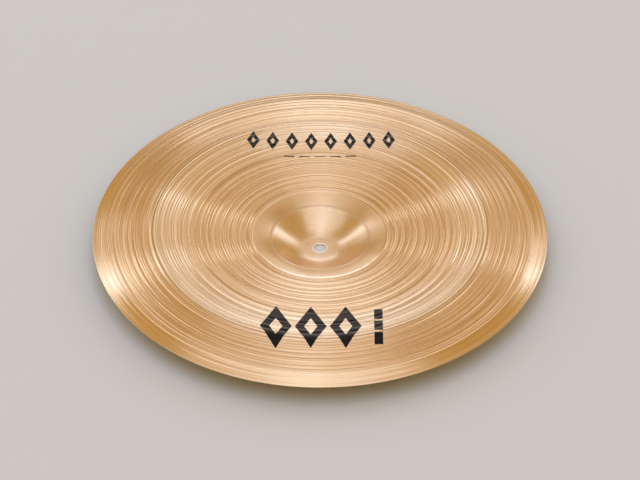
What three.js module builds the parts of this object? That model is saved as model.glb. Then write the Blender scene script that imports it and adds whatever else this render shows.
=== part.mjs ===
// China cymbal, 18 inch: one disc of sheet bronze with a small cup, a lathed bow and a turned flange.
// Millimetres, +Z up. It is drawn cup down, the way a china is hung, so the cup's hollow faces up.
// The origin is the centre of the hole, in the plane of the flat that the cup stands on.
import * as THREE from "three";

// Radii and widths across the disc, from the hole outwards
const holeRadius = 6.2;
const holeChamfer = 0.35; // the drilled edge is broken on both faces
const seatRadius = 16.5; // flat that the felt washers clamp
const cupRadius = 47; // top of the cup's wall
const ledgeWidth = 2.2; // narrow ledge that the pressing leaves round the cup
const stepWidth = 2.8; // the turn from the ledge into the flare
const flareWidth = 14.5; // smooth cone round the cup
const lipWidth = 2; // the turn from the flare to the bow
const creaseRadius = 168.5; // where the flange is bent back
const bendWidth = 5; // the rounded stretch across the crease
const rimRadius = 228.6; // half of 18 inches

// Heights that the sheet gains or loses in each zone
const cupDepth = 13.4;
const ledgeRise = 0.75;
const stepRise = 0.65;
const flareRise = 4.07;
const lipRise = 0.28;
const bowRise = 10.05;
const flangeDrop = 8.7;

// Slopes of the sheet where the zones meet, in degrees above the horizontal
const cupFootAngle = 12;
const cupWallAngle = 33;
const ledgeAngle = 6;
const flareInnerAngle = 19;
const flareOuterAngle = 11;
const bowInnerAngle = 5;
const bowOuterAngle = 9;
const flangeInnerAngle = -4;
const rimAngle = -11;

// The sheet is thickest in the cup and tapers to the rim
const cupThickness = 1.3;
const rimThickness = 0.75;
const rimRounding = 0.22; // the trimmed edge is broken on both faces

// Lathe grooves: the underside is cut with a wider tool
const bowGroovePitch = 8;
const flangeGroovePitch = 9;
const undersidePitchShare = 1.5;
const grooveDepth = 0.1;
const creaseLand = 3; // plain strip on each side of the bend
const rimLand = 2.4; // plain strip inside the rim

// Facets
const turnFacets = 60;
const cupSteps = 5;
const flareSteps = 3;
const bendSteps = 2;

// Radii where the zones meet
const ledgeEnd = cupRadius + ledgeWidth;
const flareStart = ledgeEnd + stepWidth;
const flareEnd = flareStart + flareWidth;
const bowStart = flareEnd + lipWidth;
const bendStart = creaseRadius - bendWidth / 2;
const bendEnd = creaseRadius + bendWidth / 2;

const slopeOf = (degrees) => Math.tan(THREE.MathUtils.degToRad(degrees));

// The middle of the sheet as stations from the hole to the rim: a radius, a height and a slope at each.
function stations() {
  const line = [{ radius: seatRadius, height: cupThickness / 2, slope: slopeOf(cupFootAngle) }];
  const add = (radius, rise, angle) => {
    line.push({ radius, height: line[line.length - 1].height + rise, slope: slopeOf(angle) });
  };
  const bendRise = (bendWidth * (slopeOf(bowOuterAngle) + slopeOf(flangeInnerAngle))) / 2;
  add(cupRadius, cupDepth, cupWallAngle);
  add(ledgeEnd, ledgeRise, ledgeAngle);
  add(flareStart, stepRise, flareInnerAngle);
  add(flareEnd, flareRise, flareOuterAngle);
  add(bowStart, lipRise, bowInnerAngle);
  add(bendStart, bowRise, bowOuterAngle);
  add(bendEnd, bendRise, flangeInnerAngle);
  add(rimRadius, -flangeDrop, rimAngle);
  return line;
}

// Height and slope of the sheet's middle at a radius: a cubic between the two stations beside it.
function middleAt(radius, line) {
  if (radius <= seatRadius) return { height: line[0].height, slope: 0 };
  const next = Math.max(1, line.findIndex((station) => station.radius >= radius));
  const from = line[next - 1];
  const to = line[next];
  const span = to.radius - from.radius;
  const u = (radius - from.radius) / span;
  const fromWeight = (1 + 2 * u) * (1 - u) ** 2;
  const toWeight = u * u * (3 - 2 * u);
  const fromSlopeWeight = u * (1 - u) ** 2;
  const toSlopeWeight = u * u * (u - 1);
  const height =
    fromWeight * from.height +
    toWeight * to.height +
    span * (fromSlopeWeight * from.slope + toSlopeWeight * to.slope);
  const slope =
    (6 * u * (1 - u) * (to.height - from.height)) / span +
    (1 - u) * (1 - 3 * u) * from.slope +
    u * (3 * u - 2) * to.slope;
  return { height, slope };
}

// The sheet keeps its full thickness in the cup and tapers evenly from there to the rim.
function thicknessAt(radius) {
  const taper = THREE.MathUtils.clamp((radius - cupRadius) / (rimRadius - cupRadius), 0, 1);
  return THREE.MathUtils.lerp(cupThickness, rimThickness, taper);
}

// A point on the upper face (side 1) or the lower face (side -1), cut below it by a groove's depth.
function facePoint(radius, side, depth, line) {
  const { height, slope } = middleAt(radius, line);
  const reach = side * (thicknessAt(radius) / 2 - depth);
  const length = Math.hypot(1, slope);
  return new THREE.Vector2(radius - (reach * slope) / length, height + reach / length);
}

// Evenly spaced radii, without the first.
function steps(from, to, count) {
  return Array.from({ length: count }, (_, i) => from + ((to - from) * (i + 1)) / count);
}

// Crests and grooves in turn across one zone, from a crest at its inner end to a crest at its outer end.
function grooveRun(from, to, pitch) {
  const count = Math.max(1, Math.round((to - from) / pitch));
  return steps(from, to, 2 * count).map((radius, i) => ({ radius, depth: i % 2 ? 0 : grooveDepth }));
}

// Radii and groove depths of one face, from the seat's edge to just inside the rim.
function faceRun(pitchShare) {
  const plain = (radii) => radii.map((radius) => ({ radius, depth: 0 }));
  return [
    ...plain(steps(seatRadius, cupRadius, cupSteps)),
    ...plain([ledgeEnd, flareStart]),
    ...plain(steps(flareStart, flareEnd, flareSteps)),
    ...plain([bowStart]),
    ...grooveRun(bowStart, bendStart - creaseLand, bowGroovePitch * pitchShare),
    ...plain([bendStart]),
    ...plain(steps(bendStart, bendEnd, bendSteps)),
    ...plain([bendEnd + creaseLand]),
    ...grooveRun(bendEnd + creaseLand, rimRadius - rimLand, flangeGroovePitch * pitchShare),
  ];
}

// The closed section of the sheet, out along the lower face and back along the upper one.
function section() {
  const line = stations();
  const face = (side, pitchShare) =>
    faceRun(pitchShare).map(({ radius, depth }) => facePoint(radius, side, depth, line));
  const rim = line[line.length - 1];
  const rimHalf = rimThickness / 2;
  const breakHeight = rimHalf - rimRounding;
  const breakRadius = rimRadius - rimRounding;
  const lower = [
    new THREE.Vector2(holeRadius, holeChamfer),
    new THREE.Vector2(holeRadius + holeChamfer, 0),
    new THREE.Vector2(seatRadius, 0),
    ...face(-1, undersidePitchShare),
    new THREE.Vector2(breakRadius, rim.height - rimHalf),
    new THREE.Vector2(rimRadius, rim.height - breakHeight),
  ];
  const upper = [
    new THREE.Vector2(holeRadius, cupThickness - holeChamfer),
    new THREE.Vector2(holeRadius + holeChamfer, cupThickness),
    new THREE.Vector2(seatRadius, cupThickness),
    ...face(1, 1),
    new THREE.Vector2(breakRadius, rim.height + rimHalf),
    new THREE.Vector2(rimRadius, rim.height + breakHeight),
  ];
  return [...lower, ...upper.reverse(), lower[0].clone()];
}

// The disc: the section turned about the hole's axis.
function cymbal() {
  const bronze = new THREE.MeshStandardMaterial({ color: 0xc99a5b, roughness: 0.32, metalness: 1 });
  const disc = new THREE.Mesh(new THREE.LatheGeometry(section(), turnFacets), bronze);
  disc.name = "cymbal";
  disc.rotation.x = Math.PI / 2; // the lathe turns about Y, and the cymbal's axis is Z
  return disc;
}

const chinaCymbal = new THREE.Group();
chinaCymbal.add(cymbal());

export default chinaCymbal;
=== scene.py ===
import math
import random

import bpy
import numpy as np
from mathutils import Matrix, Vector


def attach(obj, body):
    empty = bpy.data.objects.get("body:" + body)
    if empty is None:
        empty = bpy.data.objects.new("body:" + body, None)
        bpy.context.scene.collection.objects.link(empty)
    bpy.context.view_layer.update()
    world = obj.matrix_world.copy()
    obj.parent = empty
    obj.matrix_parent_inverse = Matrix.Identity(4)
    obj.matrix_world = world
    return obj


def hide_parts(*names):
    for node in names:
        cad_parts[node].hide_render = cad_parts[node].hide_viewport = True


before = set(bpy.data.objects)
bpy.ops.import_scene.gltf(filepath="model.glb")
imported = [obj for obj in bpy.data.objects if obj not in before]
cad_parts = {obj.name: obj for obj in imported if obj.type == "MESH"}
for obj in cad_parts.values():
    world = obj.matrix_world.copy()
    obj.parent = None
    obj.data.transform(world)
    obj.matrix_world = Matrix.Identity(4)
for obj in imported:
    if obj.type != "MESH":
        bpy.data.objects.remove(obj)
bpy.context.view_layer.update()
mm = 0.001

# The sheet, in millimetres and degrees, with its middle line given where its zones meet. Its heights are
# within half a millimetre of the CAD disc's: the cup's foot, the ledge and the crease differ a little.
sheet = {
    "holeRadius": 6.2, "holeBreak": 0.35, "seatRadius": 16.5,
    "cupRadius": 47.0, "ledgeRadius": 49.2, "flareRadius": 52.0, "flareEndRadius": 66.5, "bowRadius": 68.5,
    "creaseRadius": 166.8, "bendWidth": 4.0, "rimRadius": 228.6,
    "cupDepth": 13.4, "ledgeRise": 0.86, "stepRise": 0.78, "flareRise": 3.83, "lipRise": 0.28,
    "bowRise": 10.05, "flangeDrop": 8.7,
    "cupFootAngle": 5.0, "cupWallAngle": 31.0, "ledgeAngle": 13.0,
    "flareInnerAngle": 19.0, "flareOuterAngle": 11.0,
    "bowInnerAngle": 5.0, "bowOuterAngle": 9.0, "flangeInnerAngle": -4.0, "rimAngle": -11.0,
    "cupThickness": 1.3, "rimThickness": 0.75, "rimBreak": 0.22,
}


def slopeOf(degrees):
    return math.tan(math.radians(degrees))


def makeStations():
    s = sheet
    bendStart = s["creaseRadius"] - s["bendWidth"] / 2
    bendEnd = s["creaseRadius"] + s["bendWidth"] / 2
    bendRise = s["bendWidth"] * (slopeOf(s["bowOuterAngle"]) + slopeOf(s["flangeInnerAngle"])) / 2
    rows = [
        (s["seatRadius"], s["cupThickness"] / 2, s["cupFootAngle"]),
        (s["cupRadius"], s["cupDepth"], s["cupWallAngle"]),
        (s["ledgeRadius"], s["ledgeRise"], s["ledgeAngle"]),
        (s["flareRadius"], s["stepRise"], s["flareInnerAngle"]),
        (s["flareEndRadius"], s["flareRise"], s["flareOuterAngle"]),
        (s["bowRadius"], s["lipRise"], s["bowInnerAngle"]),
        (bendStart, s["bowRise"], s["bowOuterAngle"]),
        (bendEnd, bendRise, s["flangeInnerAngle"]),
        (s["rimRadius"], -s["flangeDrop"], s["rimAngle"]),
    ]
    radii, rises, angles = zip(*rows)
    return np.array(radii), np.cumsum(rises), np.array([slopeOf(angle) for angle in angles])


stationRadius, stationHeight, stationSlope = makeStations()
rimHeight = stationHeight[-1]


def middleOfSheet(radius):
    # height and slope of the sheet's middle: a cubic between the two stations beside each radius
    radius = np.asarray(radius, float)
    after = np.clip(np.searchsorted(stationRadius, radius), 1, len(stationRadius) - 1)
    r0, r1 = stationRadius[after - 1], stationRadius[after]
    z0, z1 = stationHeight[after - 1], stationHeight[after]
    s0, s1 = stationSlope[after - 1], stationSlope[after]
    span = r1 - r0
    u = np.clip((radius - r0) / span, 0, 1)
    height = ((1 + 2 * u) * (1 - u) ** 2 * z0 + u * u * (3 - 2 * u) * z1
              + span * (u * (1 - u) ** 2 * s0 + u * u * (u - 1) * s1))
    slope = 6 * u * (1 - u) * (z1 - z0) / span + (1 - u) * (1 - 3 * u) * s0 + u * (3 * u - 2) * s1
    flat = radius <= sheet["seatRadius"]
    return np.where(flat, stationHeight[0], height), np.where(flat, 0.0, slope)


def thicknessAt(radius):
    taper = np.clip((radius - sheet["cupRadius"]) / (sheet["rimRadius"] - sheet["cupRadius"]), 0, 1)
    return sheet["cupThickness"] + taper * (sheet["rimThickness"] - sheet["cupThickness"])


# The lathe's cuts run as a flat spiral, and face 1 is the upper one. A band's depths are those of the cut
# that fills the pitch, under 1, and of a finer one at half the pitch, under 2. They change slowly with the
# radius. Each cut is deepest at the valley, a share of its width. The scores are single rings.
lathe = {
    "seed": 11, "pitch": 6.5, "start": 0.346, "valley": 0.42, "change": 6.0, "depthSpread": (0.6, 1.3),
    "bands": [
        {"face": 1, "from": 68.6, "to": 165.6, "depths": {1: 0.25, 2: 0.05}},
        {"face": 1, "from": 170.0, "to": 213.0, "depths": {1: 0.18, 2: 0.04}},
        {"face": 1, "from": 213.0, "to": 227.6, "pitch": 5.75, "start": 0.413, "depths": {1: 0.27}},
        {"face": -1, "from": 70.0, "to": 226.0, "depths": {1: 0.10}},
    ],
    "scores": [{"at": 168.6, "width": 2.0, "depth": 0.30}],
    "fade": 1.6,
}


def makeDepthLines():
    # one row of depths for each cut of each band, a value every few millimetres of radius
    dice = random.Random(lathe["seed"])
    rows = []
    for band in lathe["bands"]:
        count = int((band["to"] - band["from"]) / lathe["change"]) + 2
        radii = np.linspace(band["from"], band["to"], count)
        for share, depth in band["depths"].items():
            shift = 0 if share == 1 else dice.random()
            depths = np.array([depth * dice.uniform(*lathe["depthSpread"]) for _ in radii])
            rows.append((band, share, shift, radii, depths))
    return rows


depthLines = makeDepthLines()


def cutDepth(radius, turns, face):
    depth = np.zeros_like(radius)
    for band, share, shift, radii, depths in depthLines:
        if band["face"] != face:
            continue
        pitch, start = band.get("pitch", lathe["pitch"]), band.get("start", lathe["start"])
        u = (share * (radius / pitch - turns + start) + shift) % 1
        low = lathe["valley"]
        hollow = 1 - np.where(u < low, (u - low) / low, (u - low) / (1 - low)) ** 2
        edge = np.clip(np.minimum(radius - band["from"], band["to"] - radius) / lathe["fade"], 0, 1)
        depth += hollow * edge * np.interp(radius, radii, depths)
    if face == 1:
        for score in lathe["scores"]:
            depth += score["depth"] * np.clip(1 - np.abs(radius - score["at"]) * 2 / score["width"], 0, 1)
    return depth


# The rings that the mesh is made of: how far the seat's lie from its bevel and its edge, how many cross the
# cup and the ledge, how far apart they are on the two faces outside them and how far the last stays from the
# rim, in millimetres. There are turnSteps sections round the axis.
rings = {
    "fromBevel": (0.1, 0.5), "fromSeatEdge": (0.7, 0.15), "acrossCup": 26, "acrossLedge": 14,
    "topSpacing": 0.55, "underSpacing": 2.2, "rimLand": 0.44, "turnSteps": 192,
}


def faceRadii(spacing):
    s = sheet
    bevel, seat = s["holeRadius"] + s["holeBreak"], s["seatRadius"]
    flat = [bevel + gap for gap in rings["fromBevel"]] + [(bevel + seat) / 2]
    flat += [seat - gap for gap in rings["fromSeatEdge"]]
    cup = np.linspace(seat + rings["fromSeatEdge"][-1], s["cupRadius"], rings["acrossCup"])
    ledge = np.linspace(s["cupRadius"], s["flareRadius"], rings["acrossLedge"])[1:]
    last = s["rimRadius"] - rings["rimLand"]
    rest = np.linspace(s["flareRadius"], last, int((last - s["flareRadius"]) / spacing))[1:]
    return np.concatenate([flat, cup, ledge, rest])


topRadii, underRadii = faceRadii(rings["topSpacing"]), faceRadii(rings["underSpacing"])


def facePoints(radius, side, depth):
    height, slope = middleOfSheet(radius)
    reach = side * (thicknessAt(radius) / 2 - depth)
    length = np.hypot(1, slope)
    return np.stack([radius - reach * slope / length, height + reach / length], 1)


def sectionAt(turns):
    # the sheet's section at a share of a turn: a loop from the hole under the sheet to the rim and back
    s = sheet
    halfRim = s["rimThickness"] / 2
    hole, holeEdge = s["holeRadius"], s["holeRadius"] + s["holeBreak"]
    rimIn = s["rimRadius"] - s["rimBreak"]
    under = facePoints(underRadii, -1, cutDepth(underRadii, turns, -1))
    top = facePoints(topRadii, 1, cutDepth(topRadii, turns, 1))
    loop = [(hole, s["holeBreak"]), (holeEdge, 0.0)] + [tuple(p) for p in under]
    loop += [(rimIn, rimHeight - halfRim), (s["rimRadius"], rimHeight - halfRim + s["rimBreak"])]
    loop += [(s["rimRadius"], rimHeight + halfRim - s["rimBreak"]), (rimIn, rimHeight + halfRim)]
    loop += [tuple(p) for p in top[::-1]]
    loop += [(holeEdge, s["cupThickness"]), (hole, s["cupThickness"] - s["holeBreak"])]
    return np.array(loop)


# Hammer marks: low waves over the sheet outside the cup, so that no reflection there is a perfect arc.
hammering = {"seed": 4, "waves": 26, "length": (38.0, 90.0), "height": 0.006, "from": 60.0, "full": 90.0}


def makeWaves():
    dice = random.Random(hammering["seed"])
    rows = []
    for _ in range(hammering["waves"]):
        turn, length = dice.uniform(0, math.tau), dice.uniform(*hammering["length"])
        rows.append((math.cos(turn) / length, math.sin(turn) / length, dice.uniform(0, math.tau)))
    return rows


waves = makeWaves()


def hammered(x, y):
    total = sum(np.sin(math.tau * (x * a + y * b) + shift) for a, b, shift in waves)
    start = np.clip((np.hypot(x, y) - hammering["from"]) / (hammering["full"] - hammering["from"]), 0, 1)
    return total * hammering["height"] * start


def topHeight(radius, turns):
    middle, slope = middleOfSheet(radius)
    reach = thicknessAt(radius) / 2 - cutDepth(radius, turns, 1)
    x, y = radius * np.cos(turns * math.tau), radius * np.sin(turns * math.tau)
    return middle + reach * np.hypot(1, slope) + hammered(x, y)


def setInputs(tree, node, inputs):
    # a socket is linked, and any other value is set
    for key, value in (inputs or {}).items():
        if isinstance(value, bpy.types.NodeSocket):
            tree.links.new(value, node.inputs[key])
        else:
            node.inputs[key].default_value = value


def addNode(tree, kind, inputs=None, **settings):
    node = tree.nodes.new("ShaderNode" + kind)
    for key, value in settings.items():
        setattr(node, key, value)
    setInputs(tree, node, inputs)
    return node


def calc(tree, operation, *values):
    return addNode(tree, "Math", dict(enumerate(values)), operation=operation).outputs[0]


def vector(tree, operation, *values):
    return addNode(tree, "VectorMath", dict(enumerate(values)), operation=operation).outputs[0]


def newGroup(name, inputs, outputs):
    tree = bpy.data.node_groups.new(name, "ShaderNodeTree")
    for title, value in inputs.items():
        socket = tree.interface.new_socket(title, in_out="INPUT", socket_type="NodeSocketFloat")
        socket.default_value = value
    for title, kind in outputs.items():
        tree.interface.new_socket(title, in_out="OUTPUT", socket_type="NodeSocket" + kind)
    return tree, tree.nodes.new("NodeGroupInput").outputs, tree.nodes.new("NodeGroupOutput").inputs


def useGroup(tree, group, inputs=None):
    node = tree.nodes.new("ShaderNodeGroup")
    node.node_tree = group
    setInputs(tree, node, inputs)
    return node.outputs


# The noise in the groups: how fine it is, and the range of it that is spread from 0 to 1.
noise = {
    "lines": {"detail": 2.0, "roughness": 0.6, "range": (0.3, 0.7)},
    "clouds": {"detail": 4.0, "roughness": 0.55, "range": (0.35, 0.68)},
    "specks": {"detail": 2.0, "roughness": 0.5, "range": (0.62, 0.78)},
    "speckScale": 900.0,
}


def spreadNoise(tree, kind, place, scale, dimensions="3D"):
    look = noise[kind]
    placeSocket = "W" if dimensions == "1D" else "Vector"
    inputs = {placeSocket: place, "Scale": scale, "Detail": look["detail"], "Roughness": look["roughness"]}
    value = addNode(tree, "TexNoise", inputs, noise_dimensions=dimensions).outputs["Fac"]
    low, high = look["range"]
    return addNode(tree, "MapRange", {"Value": value, "From Min": low, "From Max": high}).outputs["Result"]


def makeRadius():
    # the distance from the hole's axis in millimetres, and the direction away from it
    tree, _, out = newGroup("radiusFromAxis", {}, {"Radius": "Float", "Outward": "Vector"})
    place = addNode(tree, "TexCoord").outputs["Object"]
    flat = vector(tree, "MULTIPLY", place, (1, 1, 0))
    length = addNode(tree, "VectorMath", {0: flat}, operation="LENGTH").outputs["Value"]
    tree.links.new(calc(tree, "MULTIPLY", length, 1 / mm), out["Radius"])
    tree.links.new(vector(tree, "NORMALIZE", flat), out["Outward"])
    return tree


def makeLines():
    # fine rings of the lathe, from 0 to 1, with a spacing in millimetres
    tree, given, out = newGroup("latheLines", {"Spacing": 1.0, "Start": 0.0}, {"Lines": "Float"})
    radius = useGroup(tree, groups["radius"])["Radius"]
    across = calc(tree, "ADD", calc(tree, "DIVIDE", radius, given["Spacing"]), given["Start"])
    tree.links.new(spreadNoise(tree, "lines", across, 1.0, "1D"), out["Lines"])
    return tree


def makeBand():
    # 1 between two radii and 0 elsewhere, with soft bounds
    tree, given, out = newGroup("radialBand", {"From": 0.0, "To": 1.0, "Soft": 1.0}, {"Mask": "Float"})
    radius = useGroup(tree, groups["radius"])["Radius"]
    inner = calc(tree, "DIVIDE", calc(tree, "SUBTRACT", radius, given["From"]), given["Soft"])
    outer = calc(tree, "DIVIDE", calc(tree, "SUBTRACT", given["To"], radius), given["Soft"])
    nearer = calc(tree, "MINIMUM", inner, outer)
    mask = addNode(tree, "Math", {0: nearer, 1: 0.5}, operation="ADD", use_clamp=True).outputs[0]
    tree.links.new(mask, out["Mask"])
    return tree


def makeTilt():
    # the surface's normal, tilted as if the metal rose outward by this slope
    tree, given, out = newGroup("tiltedNormal", {"Slope": 0.0}, {"Normal": "Vector"})
    outward = useGroup(tree, groups["radius"])["Outward"]
    normal = addNode(tree, "NewGeometry").outputs["Normal"]
    lean = addNode(tree, "VectorMath", {0: outward, "Scale": given["Slope"]}, operation="SCALE").outputs[0]
    tree.links.new(vector(tree, "NORMALIZE", vector(tree, "SUBTRACT", normal, lean)), out["Normal"])
    return tree


def makeAgeing():
    # clouds of tarnish, of a size in metres, and small specks, both from 0 to 1
    tree, given, out = newGroup("ageing", {"Size": 0.06}, {"Clouds": "Float", "Specks": "Float"})
    place = addNode(tree, "TexCoord").outputs["Object"]
    scale = calc(tree, "DIVIDE", 1.0, given["Size"])
    tree.links.new(spreadNoise(tree, "clouds", place, scale), out["Clouds"])
    tree.links.new(spreadNoise(tree, "specks", place, noise["speckScale"]), out["Specks"])
    return tree


groups = {}
for name, make in (("radius", makeRadius), ("lines", makeLines), ("band", makeBand), ("tilt", makeTilt),
                   ("ageing", makeAgeing)):
    groups[name] = make()
print("node groups made:", len(groups))


def latheLines(tree, spacing, start=0.0):
    return useGroup(tree, groups["lines"], {"Spacing": spacing, "Start": start})["Lines"]


def bandMask(tree, band):
    bounds = {"From": band["from"], "To": band["to"], "Soft": band["soft"]}
    return useGroup(tree, groups["band"], bounds)["Mask"]


def tiltNormal(tree, slope):
    return useGroup(tree, groups["tilt"], {"Slope": slope})["Normal"]


def wavySlope(tree, lines, steepest):
    return calc(tree, "MULTIPLY", calc(tree, "SUBTRACT", lines, 0.5), 2 * steepest)


def addShares(tree, *parts):
    # the sum of some masks, each times its share
    total = 0.0
    for mask, share in parts:
        total = calc(tree, "MULTIPLY_ADD", mask, share, total)
    return total


def mixColors(tree, factor, first, second):
    node = addNode(tree, "Mix", data_type="RGBA")
    sockets = [s for s in node.inputs if s.enabled]
    for socket, value in zip(sockets, (factor, first, second)):
        if isinstance(value, bpy.types.NodeSocket):
            tree.links.new(value, socket)
        else:
            socket.default_value = value
    return [s for s in node.outputs if s.enabled][0]


def paintedShadeRings(tree, color, look):
    # rings of painted shade, darker where the sheet creases or steps
    for shadeRing in look["shadeRings"]:
        share = calc(tree, "MULTIPLY", bandMask(tree, shadeRing), shadeRing["share"])
        color = mixColors(tree, share, color, look["shadeColor"])
    return color


def metalShader(name, look):
    # a metal whose highlights spread away from the hole's axis, across the rings of the lathe
    material = bpy.data.materials.new(name)
    material.use_nodes = True
    tree = material.node_tree
    shader = tree.nodes["Principled BSDF"]
    shader.inputs["Metallic"].default_value = 1.0
    shader.inputs["Anisotropic"].default_value = look["anisotropy"]
    shader.inputs["Anisotropic Rotation"].default_value = 0.25
    tangent = addNode(tree, "Tangent", direction_type="RADIAL", axis="Z")
    tree.links.new(tangent.outputs["Tangent"], shader.inputs["Tangent"])
    return material, tree, shader


# The bow and the flange: rings of fine cuts, some of them with steep flanks that face inward or outward. Bow
# and flange are deeper in tone. The metal before the crease is painted paler, a painted reflection of the
# bright light that the outer bow shows, and the dark rings at the crease and just before it are painted
# shade. The outer edge has calmer cuts and is shaded as if it turned down.
bronze = {
    "color": (0.87, 0.63, 0.37, 1), "deepColor": (0.78, 0.51, 0.26, 1), "paleReflectionColor": (0.95, 0.735, 0.49, 1),
    "shadeColor": (0.36, 0.21, 0.10, 1),
    "roughness": 0.205, "roughSpread": 0.03, "anisotropy": 0.52,
    "fineSpacing": 1.7, "fineSlope": 0.05,
    "flankSpacing": 1.1, "flankStart": 31.7, "flankSlope": 0.45, "flankFrom": 0.68,
    "toneSpacing": 3.0, "toneStart": 8.3, "toneShare": 0.22, "cloudSize": 0.07, "cloudShare": 0.30,
    "bow": {"from": 60.0, "to": 142.0, "soft": 16.0, "share": 0.50},
    "flange": {"from": 168.0, "to": 210.0, "soft": 8.0, "share": 0.55},
    "paleReflection": {"from": 134.0, "to": 169.0, "soft": 16.0, "share": 0.45},
    "edge": {"from": 214.0, "to": 232.0, "soft": 5.0, "calm": 0.75, "turn": 0.13, "smooth": 0.01},
    # painted shade: dark rings at the crease and just before it
    "shadeRings": [
        {"from": 167.7, "to": 169.3, "soft": 0.7, "share": 0.50},
        {"from": 162.2, "to": 163.4, "soft": 0.8, "share": 0.25},
    ],
}


def makeBronze():
    b = bronze
    material, tree, shader = metalShader("lathedBronze", b)
    fine = latheLines(tree, b["fineSpacing"])
    flanks = latheLines(tree, b["flankSpacing"], b["flankStart"])
    tone = latheLines(tree, b["toneSpacing"], b["toneStart"])
    aged = useGroup(tree, groups["ageing"], {"Size": b["cloudSize"]})
    edge = bandMask(tree, b["edge"])
    outward = calc(tree, "GREATER_THAN", flanks, b["flankFrom"])
    inward = calc(tree, "LESS_THAN", flanks, 1 - b["flankFrom"])
    flank = calc(tree, "MULTIPLY", calc(tree, "SUBTRACT", inward, outward), b["flankSlope"])
    cuts = calc(tree, "ADD", wavySlope(tree, fine, b["fineSlope"]), flank)
    strength = calc(tree, "SUBTRACT", 1.0, calc(tree, "MULTIPLY", edge, b["edge"]["calm"]))
    slope = calc(tree, "SUBTRACT", calc(tree, "MULTIPLY", cuts, strength),
                 calc(tree, "MULTIPLY", edge, b["edge"]["turn"]))
    tree.links.new(tiltNormal(tree, slope), shader.inputs["Normal"])
    share = addShares(tree, (tone, b["toneShare"]), (aged["Clouds"], b["cloudShare"]),
                      (bandMask(tree, b["bow"]), b["bow"]["share"]),
                      (bandMask(tree, b["flange"]), b["flange"]["share"]))
    color = mixColors(tree, share, b["color"], b["deepColor"])
    # painted reflection: a paler band before the crease
    paleReflection = calc(tree, "MULTIPLY", bandMask(tree, b["paleReflection"]), b["paleReflection"]["share"])
    color = mixColors(tree, paleReflection, color, b["paleReflectionColor"])
    # painted shade at the crease
    tree.links.new(paintedShadeRings(tree, color, b), shader.inputs["Base Color"])
    uneven = calc(tree, "ADD", tone, calc(tree, "ADD", aged["Clouds"], aged["Specks"]))
    rough = calc(tree, "MULTIPLY_ADD", uneven, b["roughSpread"], b["roughness"] - b["roughSpread"])
    rough = calc(tree, "SUBTRACT", rough, calc(tree, "MULTIPLY", edge, b["edge"]["smooth"]))
    tree.links.new(rough, shader.inputs["Roughness"])
    return material


# The cup, its ledge and its flare are hammered and brushed, without cuts of the lathe. The flare is deeper
# in tone, a dark ring on the ledge is painted shade, and the lip round the flare is smoother.
cup = {
    "color": (0.87, 0.64, 0.395, 1), "deepColor": (0.79, 0.54, 0.30, 1), "shadeColor": (0.40, 0.24, 0.11, 1),
    "roughness": 0.29, "roughSpread": 0.05, "anisotropy": 0.58, "dentSize": 0.011, "dentHeight": 0.00012,
    "brushSpacing": 0.8, "brushStart": 3.1, "brushSlope": 0.03, "brushShare": 0.25,
    "cloudSize": 0.03, "cloudShare": 0.35, "outerRadius": 68.4,
    "flare": {"from": 51.5, "to": 66.0, "soft": 3.0, "share": 0.80},
    "lip": {"from": 66.0, "to": 69.4, "soft": 0.8, "smooth": 0.12},
    # painted shade: a dark ring on the ledge
    "shadeRings": [{"from": 48.4, "to": 50.8, "soft": 2.0, "share": 0.34}],
}


def makeCup():
    c = cup
    material, tree, shader = metalShader("hammeredBronze", c)
    brush = latheLines(tree, c["brushSpacing"], c["brushStart"])
    aged = useGroup(tree, groups["ageing"], {"Size": c["cloudSize"]})
    brushed = tiltNormal(tree, wavySlope(tree, brush, c["brushSlope"]))
    place = addNode(tree, "TexCoord").outputs["Object"]
    dents = addNode(tree, "TexVoronoi", {"Vector": place, "Scale": 1 / c["dentSize"], "Smoothness": 1.0},
                    feature="SMOOTH_F1").outputs["Distance"]
    bump = addNode(tree, "Bump", {"Height": dents, "Distance": c["dentHeight"], "Strength": 1.0,
                                  "Normal": brushed})
    tree.links.new(bump.outputs["Normal"], shader.inputs["Normal"])
    share = addShares(tree, (brush, c["brushShare"]), (aged["Clouds"], c["cloudShare"]),
                      (bandMask(tree, c["flare"]), c["flare"]["share"]))
    # painted shade on the ledge
    color = paintedShadeRings(tree, mixColors(tree, share, c["color"], c["deepColor"]), c)
    tree.links.new(color, shader.inputs["Base Color"])
    uneven = calc(tree, "ADD", brush, calc(tree, "ADD", aged["Clouds"], aged["Specks"]))
    rough = calc(tree, "MULTIPLY_ADD", uneven, c["roughSpread"], c["roughness"] - c["roughSpread"])
    smoother = calc(tree, "MULTIPLY", bandMask(tree, c["lip"]), c["lip"]["smooth"])
    tree.links.new(calc(tree, "SUBTRACT", rough, smoother), shader.inputs["Roughness"])
    return material


# The seat is dulled by the felt washers, and shaded as if they had pressed it into a shallow dish. Close
# round the hole a painted highlight makes it bright.
seat = {
    "color": (0.80, 0.57, 0.34, 1), "deepColor": (0.74, 0.50, 0.27, 1), "holeHighlightColor": (0.97, 0.86, 0.70, 1),
    "roughness": 0.33, "roughSpread": 0.05, "anisotropy": 0.25, "dishing": 0.0080,
    "ringSpacing": 1.3, "ringStart": 5.5, "ringShare": 0.4, "cloudSize": 0.012, "cloudShare": 0.6,
    "inner": {"from": 0.0, "to": 7.5, "soft": 0.6},
}


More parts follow.
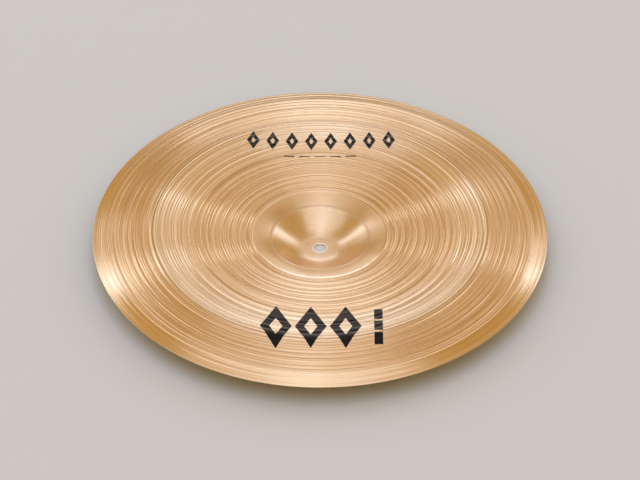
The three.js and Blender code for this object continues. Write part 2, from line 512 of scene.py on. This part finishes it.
def makeSeat():
    s = seat
    material, tree, shader = metalShader("clampedSeat", s)
    rubbed = latheLines(tree, s["ringSpacing"], s["ringStart"])
    aged = useGroup(tree, groups["ageing"], {"Size": s["cloudSize"]})
    share = addShares(tree, (rubbed, s["ringShare"]), (aged["Clouds"], s["cloudShare"]))
    plain = mixColors(tree, share, s["color"], s["deepColor"])
    # painted highlight: the metal close round the hole is paler
    color = mixColors(tree, bandMask(tree, s["inner"]), plain, s["holeHighlightColor"])
    tree.links.new(color, shader.inputs["Base Color"])
    radius = useGroup(tree, groups["radius"])["Radius"]
    slope = calc(tree, "MULTIPLY", calc(tree, "SUBTRACT", radius, sheet["holeRadius"]), s["dishing"])
    tree.links.new(tiltNormal(tree, slope), shader.inputs["Normal"])
    uneven = calc(tree, "ADD", rubbed, aged["Clouds"])
    rough = calc(tree, "MULTIPLY_ADD", uneven, s["roughSpread"], s["roughness"] - s["roughSpread"])
    tree.links.new(rough, shader.inputs["Roughness"])
    return material


# The rim, and the wall and bevels of the hole, are worn, and their paler colour is also a painted highlight
# on these edges.
wornEdgeHighlight = {
    "color": (0.93, 0.80, 0.62, 1), "deepColor": (0.86, 0.66, 0.42, 1),
    "roughness": 0.30, "roughSpread": 0.08, "anisotropy": 0.0, "cloudSize": 0.02, "width": 0.33,
}


def makeWornEdgeHighlight():
    w = wornEdgeHighlight
    material, tree, shader = metalShader("wornEdgeHighlight", w)
    clouds = useGroup(tree, groups["ageing"], {"Size": w["cloudSize"]})["Clouds"]
    # worn metal, painted paler as a highlight on the rim and the hole's edges
    tree.links.new(mixColors(tree, clouds, w["color"], w["deepColor"]), shader.inputs["Base Color"])
    rough = calc(tree, "MULTIPLY_ADD", clouds, w["roughSpread"], w["roughness"] - w["roughSpread"] / 2)
    tree.links.new(rough, shader.inputs["Roughness"])
    return material


discMaterials = [makeBronze(), makeCup(), makeSeat(), makeWornEdgeHighlight()]
bronzeSlot, cupSlot, seatSlot, edgeSlot = range(4)


def slotAt(radius):
    # which material a face of the section has, from the radius of its middle
    if radius < sheet["holeRadius"] + sheet["holeBreak"] or radius > sheet["rimRadius"] - wornEdgeHighlight["width"]:
        return edgeSlot
    if radius < sheet["seatRadius"]:
        return seatSlot
    return cupSlot if radius < cup["outerRadius"] else bronzeSlot


def makeDisc():
    turns = np.arange(rings["turnSteps"]) / rings["turnSteps"]
    sections = np.array([sectionAt(turn) for turn in turns])
    count = sections.shape[1]
    angles = turns[:, None] * math.tau
    points = np.empty((len(turns), count, 3))
    points[:, :, 0] = np.cos(angles) * sections[:, :, 0]
    points[:, :, 1] = np.sin(angles) * sections[:, :, 0]
    points[:, :, 2] = sections[:, :, 1] + hammered(points[:, :, 0], points[:, :, 1])
    radii = sections[0, :, 0]
    slots = [slotAt((radii[j] + radii[(j + 1) % count]) / 2) for j in range(count)]
    faces = []
    for i in range(len(turns)):
        a, b = i * count, ((i + 1) % len(turns)) * count
        for j in range(count):
            k = (j + 1) % count
            faces.append((a + j, b + j, b + k, a + k))
    mesh = bpy.data.meshes.new("cymbalDisc")
    mesh.from_pydata((points.reshape(-1, 3) * mm).tolist(), [], faces)
    for material in discMaterials:
        mesh.materials.append(material)
    mesh.polygons.foreach_set("material_index", slots * len(turns))
    mesh.shade_smooth()
    piece = bpy.data.objects.new("cymbalDisc", mesh)
    bpy.context.scene.collection.objects.link(piece)
    return piece


disc = makeDisc()
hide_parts("cymbal")
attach(disc, "root")
print("disc made:", len(disc.data.polygons) * 2, "triangles")

# Printed ornament: lozenges with an open middle and a column of bars on the near side, and a row of small
# lozenges behind a row of dashes on the far side. Centres are in millimetres to the right of the hole's axis
# and behind it. The slab of ink stands above the metal by its lift, and goes under it by its sink.
ornament = {
    "lift": 0.07, "sink": 0.15, "step": 0.8,
    "lozenges": [
        {"centres": [(-43.0, -148.0), (-9.0, -148.0), (25.0, -148.0)], "half": (15.5, 33.0), "open": 0.42},
        {"centres": [(-69.0, 140.0), (-49.0, 140.0), (-29.0, 140.0), (-9.0, 140.0), (11.0, 140.0),
                     (31.0, 140.0), (51.0, 140.0), (71.0, 140.0)], "half": (6.6, 12.5), "open": 0.36},
    ],
    "bars": [
        {"centres": [(57.0, -129.0), (57.0, -148.0), (57.0, -167.0)], "half": (4.2, 8.0)},
        {"centres": [(-32.0, 118.0), (-16.0, 118.0), (0.0, 118.0), (16.0, 118.0), (32.0, 118.0)],
         "half": (5.5, 0.7)},
    ],
}


def lozengeSides(centre, half, inner):
    # the four sides of an open lozenge, each as four corners
    def point(tip, share):
        return centre[0] + tip[0] * half[0] * share, centre[1] + tip[1] * half[1] * share

    tips = [(0, -1), (1, 0), (0, 1), (-1, 0)]
    pairs = zip(tips, tips[1:] + tips[:1])
    return [(point(a, 1), point(b, 1), point(b, inner), point(a, inner)) for a, b in pairs]


def barCorners(centre, half):
    x, y = centre
    wide, tall = half
    return [((x - wide, y - tall), (x + wide, y - tall), (x + wide, y + tall), (x - wide, y + tall))]


def stepsAlong(first, second):
    return max(1, math.ceil(max(np.linalg.norm(first), np.linalg.norm(second)) / ornament["step"]))


def addPatch(corners, points, faces):
    # a thin closed slab over four corners, laid on the top of the sheet
    a, b, c, d = (np.array(p) for p in corners)
    across, along = stepsAlong(b - a, c - d), stepsAlong(d - a, c - b)
    start = len(points)
    grid = np.meshgrid(np.linspace(0, 1, along + 1), np.linspace(0, 1, across + 1), indexing="ij")
    v, u = (g.ravel()[:, None] for g in grid)
    x, y = ((1 - v) * ((1 - u) * a + u * b) + v * ((1 - u) * d + u * c)).T
    z = topHeight(np.hypot(x, y), np.arctan2(y, x) / math.tau % 1)
    for offset in (ornament["lift"], -ornament["sink"]):
        points.extend(zip(x, y, z + offset))
    wide, size = across + 1, (across + 1) * (along + 1)
    for i in range(along):
        for j in range(across):
            p = start + i * wide + j
            faces.append((p, p + 1, p + wide + 1, p + wide))
            faces.append((p + size, p + size + wide, p + size + wide + 1, p + size + 1))
    edge = list(range(across)) + [i * wide + across for i in range(along)]
    edge += [along * wide + j for j in range(across, 0, -1)] + [i * wide for i in range(along, 0, -1)]
    for k, p in enumerate(edge):
        q = edge[(k + 1) % len(edge)]
        faces.append((start + p, start + p + size, start + q + size, start + q))


# Grey rings over the cuts of the bow are a painted sheen that stands for the glints of the cuts under the
# ink, and specks of wear lighten the ink too.
ink = {
    "color": (0.006, 0.006, 0.006, 1), "sheenAndWearColor": (0.20, 0.19, 0.18, 1),
    "roughness": 0.40, "roughSpread": 0.10, "refraction": 1.22,
    "ringSpacing": 4.0, "ringStart": 12.9, "ringSlope": 0.05, "ringShare": 0.75,
    "cloudSize": 0.02, "speckShare": 0.15, "bow": {"from": 60.0, "to": 166.0, "soft": 4.0},
}


def makeInk():
    material = bpy.data.materials.new("printInk")
    material.use_nodes = True
    tree = material.node_tree
    shader = tree.nodes["Principled BSDF"]
    shader.inputs["IOR"].default_value = ink["refraction"]
    lines = latheLines(tree, ink["ringSpacing"], ink["ringStart"])
    aged = useGroup(tree, groups["ageing"], {"Size": ink["cloudSize"]})
    # painted sheen: grey rings over the cuts of the bow
    sheenRings = calc(tree, "MULTIPLY", calc(tree, "MULTIPLY", lines, lines), bandMask(tree, ink["bow"]))
    # the sum of the painted sheen rings and the specks of wear
    sheenAndWear = addShares(tree, (sheenRings, ink["ringShare"]), (aged["Specks"], ink["speckShare"]))
    tree.links.new(mixColors(tree, sheenAndWear, ink["color"], ink["sheenAndWearColor"]), shader.inputs["Base Color"])
    rough = calc(tree, "MULTIPLY_ADD", aged["Clouds"], ink["roughSpread"], ink["roughness"])
    tree.links.new(rough, shader.inputs["Roughness"])
    tree.links.new(tiltNormal(tree, wavySlope(tree, lines, ink["ringSlope"])), shader.inputs["Normal"])
    return material


def makeOrnament(name, patches, material):
    points, faces = [], []
    for corners in patches:
        addPatch(corners, points, faces)
    mesh = bpy.data.meshes.new(name)
    mesh.from_pydata([(x * mm, y * mm, z * mm) for x, y, z in points], [], faces)
    mesh.materials.append(material)
    piece = bpy.data.objects.new(name, mesh)
    bpy.context.scene.collection.objects.link(piece)
    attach(piece, "root")
    return len(faces)


inkMaterial = makeInk()
nearPatches, farPatches = [], []
for row in ornament["lozenges"]:
    for centre in row["centres"]:
        side = nearPatches if centre[1] < 0 else farPatches
        side += lozengeSides(centre, row["half"], row["open"])
for row in ornament["bars"]:
    for centre in row["centres"]:
        side = nearPatches if centre[1] < 0 else farPatches
        side += barCorners(centre, row["half"])
inkFaces = makeOrnament("nearOrnament", nearPatches, inkMaterial)
inkFaces += makeOrnament("farOrnament", farPatches, inkMaterial)
print("ornaments printed:", inkFaces, "faces")

# Floor, lamps and world. A lamp is a soft panel seen from the hole: its ends are in degrees to the right of
# straight behind and degrees above the floor, and its width is in degrees too. Its level is how bright it is
# in a mirror, where 1 is plain white, and lampPower is the watts on a square metre that give 1. The floor
# fades into the backdrop between two distances in millimetres. Mirrored rays see the backdrop in full up to
# one height and not at all above another, both as shares of straight up.
studio = {
    "floorSize": 30.0, "floorColor": (0.77, 0.84, 0.88, 1), "floorRoughness": 0.9, "floorDrop": 0.0002,
    "floorFadeFrom": 700.0, "floorFadeTo": 2200.0,
    "worldColor": (0.565, 0.385, 0.150, 1), "worldStrength": 1.0,
    "backdropColor": (0.61, 0.60, 0.59, 1), "backdropFullShare": 0.04, "backdropEndShare": 0.12,
    "lamps": [
        {"name": "backPanel", "from": (-6.2, 46.0), "to": (3.9, 46.2), "width": 52.0, "level": 0.39},
        {"name": "lowPanel", "from": (-11.6, 24.0), "to": (11.0, 22.0), "width": 13.0, "level": 0.97},
        {"name": "midPanel", "from": (-5.3, 38.0), "to": (3.8, 38.0), "width": 16.0, "level": 0.24},
        {"name": "leftStrip", "from": (-64.1, 25.9), "to": (-19.5, 45.2), "width": 8.2, "level": 1.04},
        {"name": "rightStrip", "from": (66.0, 3.6), "to": (37.5, 42.6), "width": 7.0, "level": 1.32},
        {"name": "leftWing", "from": (-41.4, 5.9), "to": (-59.7, 27.7), "width": 19.7, "level": 0.66},
        {"name": "rightWing", "from": (53.5, 4.5), "to": (25.7, 44.6), "width": 7.5, "level": 0.50},
        {"name": "leftFill", "from": (-30.0, 31.0), "to": (-22.0, 36.0), "width": 6.0, "level": 0.55},
        {"name": "rightFill", "from": (30.0, 31.0), "to": (22.0, 36.0), "width": 6.0, "level": 0.55},
        {"name": "farPanel", "from": (-28.0, 58.0), "to": (8.7, 73.5), "width": 12.0, "level": 0.32},
        {"name": "topPanel", "from": (-27.9, 75.0), "to": (180.0, 44.7), "width": 54.5, "level": 0.50},
        {"name": "overPanel", "from": (-34.4, 77.3), "to": (46.5, 80.0), "width": 109.8, "level": 0.20},
    ],
    "lampColor": (0.749, 1.0, 1.547), "lampDistance": 5.0, "lampPower": 4.0,
}


def direction(azimuth, elevation):
    a, e = math.radians(azimuth), math.radians(elevation)
    return Vector((math.sin(a) * math.cos(e), math.cos(a) * math.cos(e), math.sin(e)))


def raysToBackdrop(tree):
    # the camera's rays, and those that a mirror or glass sends on
    path = addNode(tree, "LightPath").outputs
    return path["Is Camera Ray"], calc(tree, "MAXIMUM", path["Is Glossy Ray"], path["Is Transmission Ray"])


def makeFloorMaterial():
    material = bpy.data.materials.new("paleFloor")
    material.use_nodes = True
    tree = material.node_tree
    shader = tree.nodes["Principled BSDF"]
    shader.inputs["Base Color"].default_value = studio["floorColor"]
    shader.inputs["Roughness"].default_value = studio["floorRoughness"]
    radius = useGroup(tree, groups["radius"])["Radius"]
    away = addNode(tree, "MapRange", {"Value": radius, "From Min": studio["floorFadeFrom"],
                                      "From Max": studio["floorFadeTo"]}).outputs["Result"]
    camera, mirrored = raysToBackdrop(tree)
    faded = calc(tree, "MULTIPLY", away, calc(tree, "MAXIMUM", camera, mirrored))
    glow = addNode(tree, "Emission", {"Color": studio["backdropColor"]}).outputs["Emission"]
    mixed = addNode(tree, "MixShader", {0: faded, 1: shader.outputs["BSDF"], 2: glow}).outputs["Shader"]
    tree.links.new(mixed, tree.nodes["Material Output"].inputs["Surface"])
    return material


def makeFloor():
    half = studio["floorSize"] / 2
    corners = [(-half, -half, 0), (half, -half, 0), (half, half, 0), (-half, half, 0)]
    mesh = bpy.data.meshes.new("floor")
    mesh.from_pydata(corners, [], [(0, 1, 2, 3)])
    mesh.materials.append(makeFloorMaterial())
    floor = bpy.data.objects.new("floor", mesh)
    bpy.context.scene.collection.objects.link(floor)
    floor.location.z = -studio["floorDrop"]  # just clear of the seat


def makeLamp(lamp):
    first, last = direction(*lamp["from"]), direction(*lamp["to"])
    out = (first + last).normalized()
    side = (last - first).normalized()
    distance = studio["lampDistance"]
    length = 2 * distance * math.tan(first.angle(last) / 2)
    width = 2 * distance * math.tan(math.radians(lamp["width"]) / 2)
    data = bpy.data.lights.new(lamp["name"], "AREA")
    data.shape = "RECTANGLE"
    data.size, data.size_y = length, width
    data.energy = studio["lampPower"] * lamp["level"] * length * width
    data.color = studio["lampColor"]
    panel = bpy.data.objects.new(lamp["name"], data)
    bpy.context.scene.collection.objects.link(panel)
    panel.matrix_world = Matrix((side, out.cross(side), out)).transposed().to_4x4()
    panel.location = out * distance
    panel.visible_camera = False


def makeWorld():
    # warm studio walls over a pale backdrop: the camera sees only the backdrop, the metal sees it low down
    world = bpy.data.worlds.new("studio")
    bpy.context.scene.world = world
    world.use_nodes = True
    tree = world.node_tree
    background = tree.nodes["Background"]
    place = addNode(tree, "TexCoord").outputs["Generated"]
    height = addNode(tree, "SeparateXYZ", {"Vector": place}).outputs["Z"]
    low = addNode(tree, "MapRange", {"Value": height, "From Min": studio["backdropEndShare"],
                                     "From Max": studio["backdropFullShare"]}).outputs["Result"]
    camera, mirrored = raysToBackdrop(tree)
    seen = calc(tree, "MAXIMUM", camera, calc(tree, "MULTIPLY", mirrored, low))
    color = mixColors(tree, seen, studio["worldColor"], studio["backdropColor"])
    tree.links.new(color, background.inputs["Color"])
    background.inputs["Strength"].default_value = studio["worldStrength"]


# The camera: distances in metres from the hole's axis at the rim's height, and its elevation in degrees.
view = {
    "distance": 3.5, "elevation": 40.36, "aimForward": 0.011, "lens": 195.56, "sensor": 36.0, "clipEnd": 100,
}


def makeCamera():
    data = bpy.data.cameras.new("camera")
    data.lens = view["lens"]
    data.sensor_width = view["sensor"]
    data.clip_end = view["clipEnd"]
    camera = bpy.data.objects.new("camera", data)
    bpy.context.scene.collection.objects.link(camera)
    e = math.radians(view["elevation"])
    centre = Vector((0, 0, rimHeight * mm))
    camera.location = centre + view["distance"] * Vector((0, -math.cos(e), math.sin(e)))
    target = centre - Vector((0, view["aimForward"], 0))
    camera.rotation_mode = "QUATERNION"
    camera.rotation_quaternion = (target - camera.location).to_track_quat("-Z", "Y")
    bpy.context.scene.camera = camera


makeFloor()
makeWorld()
for lamp in studio["lamps"]:
    makeLamp(lamp)
makeCamera()
bpy.context.scene.view_settings.view_transform = "Standard"
print("studio ready")
